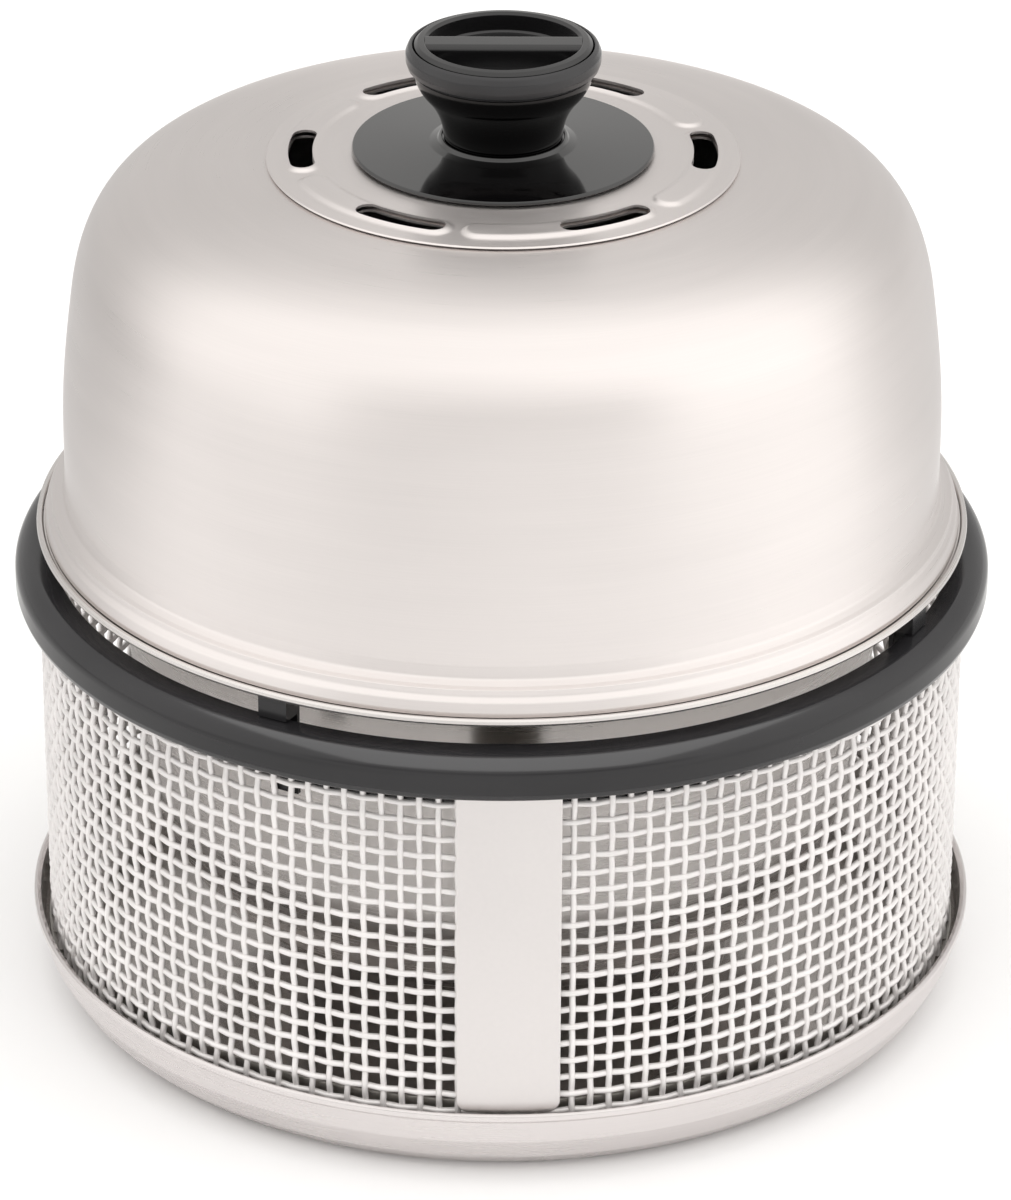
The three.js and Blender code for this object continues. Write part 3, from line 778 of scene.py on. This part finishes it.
def damper():
    """The vent ring: slots cut through it, then the band round each slot pressed up."""
    outline = fillet([(31, 288.9), (48.4, 288.7), (75.3, 287.5)], False)
    line = []
    for a, b in zip(outline, outline[1:]):
        steps = max(1, round((b - a).length / DAMPER_STEP))
        line += [a + (b - a) * i / steps for i in range(steps)]
    line.append(outline[-1])
    section = sheet_outline(line, SHEET)
    section.insert(len(line), DAMPER_LIP)
    piece = lathe("vent_ring", section, DAMPER_SIDES, shade=False)
    carve(piece, vent_cutters)
    for vertex in piece.data.vertices:
        x, y = vertex.co.x / MM, vertex.co.y / MM
        radius = math.hypot(x, y)
        if abs(radius - VENT_R) < RAISE_HALF:
            vertex.co.z += raised(radius, math.degrees(math.atan2(x, -y))) * MM
    smooth(piece, math.radians(40))
    return piece


finished(damper(), "damper", "brushed_ring", "brushed_stainless", "damper_ring")


# ---------------------------------------------------------------- knob and its fixings

DISC_OUTLINE = [
    (3.2, 290), (47.6, 290, 0.5), (48.4, 290.7, 0.5), (48.0, 291.7, 0.5), (23.6, 292.9, 3),
    (20.9, 293.7, 1.0), (20.4, 294.9, 0.4), (19.6, 294.9, 0.4), (19.4, 294.3), (3.2, 294.3),
]
finished(lathe("disc", DISC_OUTLINE, 192), "lid", "gloss", "gloss_black", "knob_disc")

KNOB_OUTLINE = [
    (5.4, 294.7), (18.8, 294.7, 0.3), (19.2, 295.8, 0.6),
    *bezier((19.3, 296.6), (19.5, 300.5), (21.4, 305.0), (24.8, 308.8), 14),
    *bezier((24.8, 308.8), (27.0, 311.2), (28.2, 313.8), (29.0, 317.2), 10),
    (2.5, 317.2), (2.5, 312.4), (5.4, 312.4),
]
finished(lathe("knob_stem", KNOB_OUTLINE, SMALL_SIDES), "lid", "stem", "gloss_black", "knob_body")

RIM_OUTLINE = [
    (28.8, 317.6), (29.4, 317.6, 0.3), (30.4, 318.6, 0.8), (31.0, 320.4, 1.6), (31.1, 323.2, 1.6),
    (30.2, 325.2, 1.2), (29.2, 325.8, 0.4), (28.8, 325.4, 0.2),
]
finished(lathe("knob_collar", RIM_OUTLINE, SMALL_SIDES), "lid", "rim", "satin_grey", "knob_rim")

CAP_OUTLINE = [
    (0, 317.6), (28.4, 317.6), (28.4, 325.7, 0.5), (27.2, 326.6, 0.7), (25.2, 326.8, 0.5),
    (24.4, 326.0, 0.5), (23.6, 320.4, 1.2), (0, 319.7),
]
finished(lathe("knob_dish", CAP_OUTLINE, SMALL_SIDES, closed=False), "lid", "cap", "gloss_black",
         "knob_cap")


def grip_bar():
    """A bar with rounded long edges; its ends run into the cap's border."""
    half_width, half_length, low, high = 5.2, 24.9, 319.4, 326.72
    section = fillet([(-half_width, low), (-half_width, high, 2.2), (half_width, high, 2.2),
                      (half_width, low)], True, 8)
    verts = [(end * half_length * MM, p.x * MM, p.y * MM) for end in (-1, 1) for p in section]
    size = len(section)
    faces = [tuple(range(size)), tuple(range(size, 2 * size))]
    faces += [(k, (k + 1) % size, size + (k + 1) % size, size + k) for k in range(size)]
    piece = mesh_piece("grip_bar", verts, faces)
    smooth(piece)
    return piece


finished(grip_bar(), "lid", "cap", "gloss_black", "knob_cap")

for node, name, width, look, slot in (("pivot_plate", "pivot", 0.15, "plain", "plain_steel"),
                                      ("knob_insert", "insert", 0.3, "brass", "brass"),
                                      ("lid_washer", "washer", 0.2, "plain", "plain_steel"),
                                      ("lid_bolt", "bolt", 0.3, "plain", "plain_steel")):
    finished(bevelled(node, name, width, 2, 50), "lid", look, slot, node)


# ---------------------------------------------------------------- floor, light and camera

FLOOR_R = 3.2                    # metres
FLOOR_DROP = 0.0003              # keeps the floor clear of the pan's underside


def studio_floor():
    """A pale matt floor with painted shade: darker to the sides behind and far in front."""
    bm = bmesh.new()
    bmesh.ops.create_circle(bm, cap_ends=True, segments=96, radius=FLOOR_R)
    floor = link_bmesh("studio_floor", bm)
    floor.location.z = -FLOOR_DROP
    s = Shader("pale_floor", (0.93, 0.93, 0.93), 0.0, 0.6, Specular_IOR_Level=0.2)
    x, y, _ = s.node("SeparateXYZ", {0: s.place()}).outputs
    # Painted shade and light: the floor's colour is darkened to the sides behind and far in front,
    # and lighter to the right, darker to the left.
    beside = s.ease(s.math("ABSOLUTE", x), 0.0, 1.0, 0.19, 0.34)
    behind = s.ease(y, 0.0, 0.34, -0.15, 0.42)
    before = s.ease(y, 0.84, 1.0, -0.42, -0.2)
    painted_shade = s.math("MULTIPLY", beside, s.math("ADD", behind, 0.05))
    painted_light_and_shade = s.math("SUBTRACT", 1.0, painted_shade)
    painted_light_and_shade = s.math("MULTIPLY", s.math("MULTIPLY", painted_light_and_shade, before),
                  s.math("MULTIPLY_ADD", x, 0.15, 1.0))
    s.vary_colour(painted_light_and_shade, 0.0, 1.0)
    s.vary_roughness(s.span(s.noise(s.place(), 60.0, 3.0), 0.55, 0.65))
    floor.data.materials.append(s.material)


SKY_TOP, SKY_BACK = 1.30, 0.69   # brightness of the studio overhead, and low down behind
SKY_LOW_FRONT = 0.76             # share of it low down in front
SKY_GAP = 0.5                    # share lost in a narrow dark gap under the front light
SKY_SIDE = 0.05                  # how much brighter it is on the right
SKY_TINT = (1.0, 0.985, 0.965, 1)


def studio_sky():
    """Bright overhead and at the sides, dimmer behind, with a dark gap low down in front."""
    world = bpy.data.worlds.new("studio")
    world.use_nodes = True
    scene.world = world
    tree = world.node_tree
    nodes, links = tree.nodes, tree.links
    direction = nodes.new("ShaderNodeTexCoord").outputs["Generated"]
    split = nodes.new("ShaderNodeSeparateXYZ")
    links.new(direction, split.inputs[0])

    def ramp(value, low, high, start, stop):
        node = nodes.new("ShaderNodeMapRange")
        node.interpolation_type = "SMOOTHSTEP"
        links.new(value, node.inputs["Value"])
        for key, number in (("From Min", start), ("From Max", stop), ("To Min", low),
                            ("To Max", high)):
            node.inputs[key].default_value = number
        return node.outputs[0]

    def combine(operation, *values):
        node = nodes.new("ShaderNodeMath")
        node.operation = operation
        for i, value in enumerate(values):
            if isinstance(value, float):
                node.inputs[i].default_value = value
            else:
                links.new(value, node.inputs[i])
        return node.outputs[0]

    x, y, z = split.outputs
    behind = combine("MULTIPLY_ADD", z, -0.35, y)
    glow = ramp(behind, SKY_TOP, SKY_BACK, -0.15, 0.65)
    ahead = combine("MULTIPLY", combine("MULTIPLY_ADD", z, 0.25, y), -1.0)
    low_front = ramp(ahead, 1.0, SKY_LOW_FRONT, 0.5, 0.95)
    gap = combine("MULTIPLY", ramp(z, 0.0, 1.0, 0.1, 0.16), ramp(z, 1.0, 0.0, 0.28, 0.33))
    gap = combine("MULTIPLY", gap, ramp(ahead, 0.0, SKY_GAP, 0.55, 0.8))
    side = combine("MULTIPLY_ADD", x, SKY_SIDE, 1.0)
    glow = combine("MULTIPLY", combine("MULTIPLY", glow, low_front), side)
    background = nodes["Background"]
    background.inputs["Color"].default_value = SKY_TINT
    links.new(combine("MULTIPLY", glow, combine("SUBTRACT", 1.0, gap)),
              background.inputs["Strength"])


def softbox(name, place, aim, width, height, radiance):
    """A rectangular lamp that faces a point; all sizes in metres."""
    light = bpy.data.lights.new(name, "AREA")
    light.shape = "RECTANGLE"
    light.size, light.size_y = width, height
    light.energy = radiance * math.pi * width * height
    lamp = bpy.data.objects.new(name, light)
    scene.collection.objects.link(lamp)
    lamp.location = place
    lamp.rotation_euler = (Vector(aim) - Vector(place)).to_track_quat("-Z", "Y").to_euler()
    return lamp


def aim_only_at(lamp, *pieces):
    """Makes a lamp light these pieces and nothing else."""
    group = bpy.data.collections.new(lamp.name)
    for piece in pieces:
        group.objects.link(piece)
    lamp.light_linking.receiver_collection = group


studio_floor()
studio_sky()
softbox("overhead", (0.0, -0.5, 3.0), (0, 0, 0), 3.0, 3.0, 0.92).visible_glossy = False
aim_only_at(softbox("ring_light", (0.0, -0.7, 2.2), (0, 0, 0.13), 3.0, 4.0, 1.9), ring)

CAMERA_PLACE = (0, -1.7399, 1.0091)
CAMERA_TILT = math.radians(63.158)   # up from looking straight down
CAMERA_ROLL = math.radians(0.209)

camera_data = bpy.data.cameras.new("camera")
camera_data.lens = 176.64
camera_data.sensor_width = 36
camera_data.shift_x = 0.0033
camera_data.clip_start = 0.05
camera = bpy.data.objects.new("camera", camera_data)
scene.collection.objects.link(camera)
camera.matrix_world = (Matrix.Translation(CAMERA_PLACE) @ Matrix.Rotation(CAMERA_TILT, 4, "X")
                       @ Matrix.Rotation(CAMERA_ROLL, 4, "Z"))
scene.camera = camera
scene.view_settings.view_transform = "Standard"
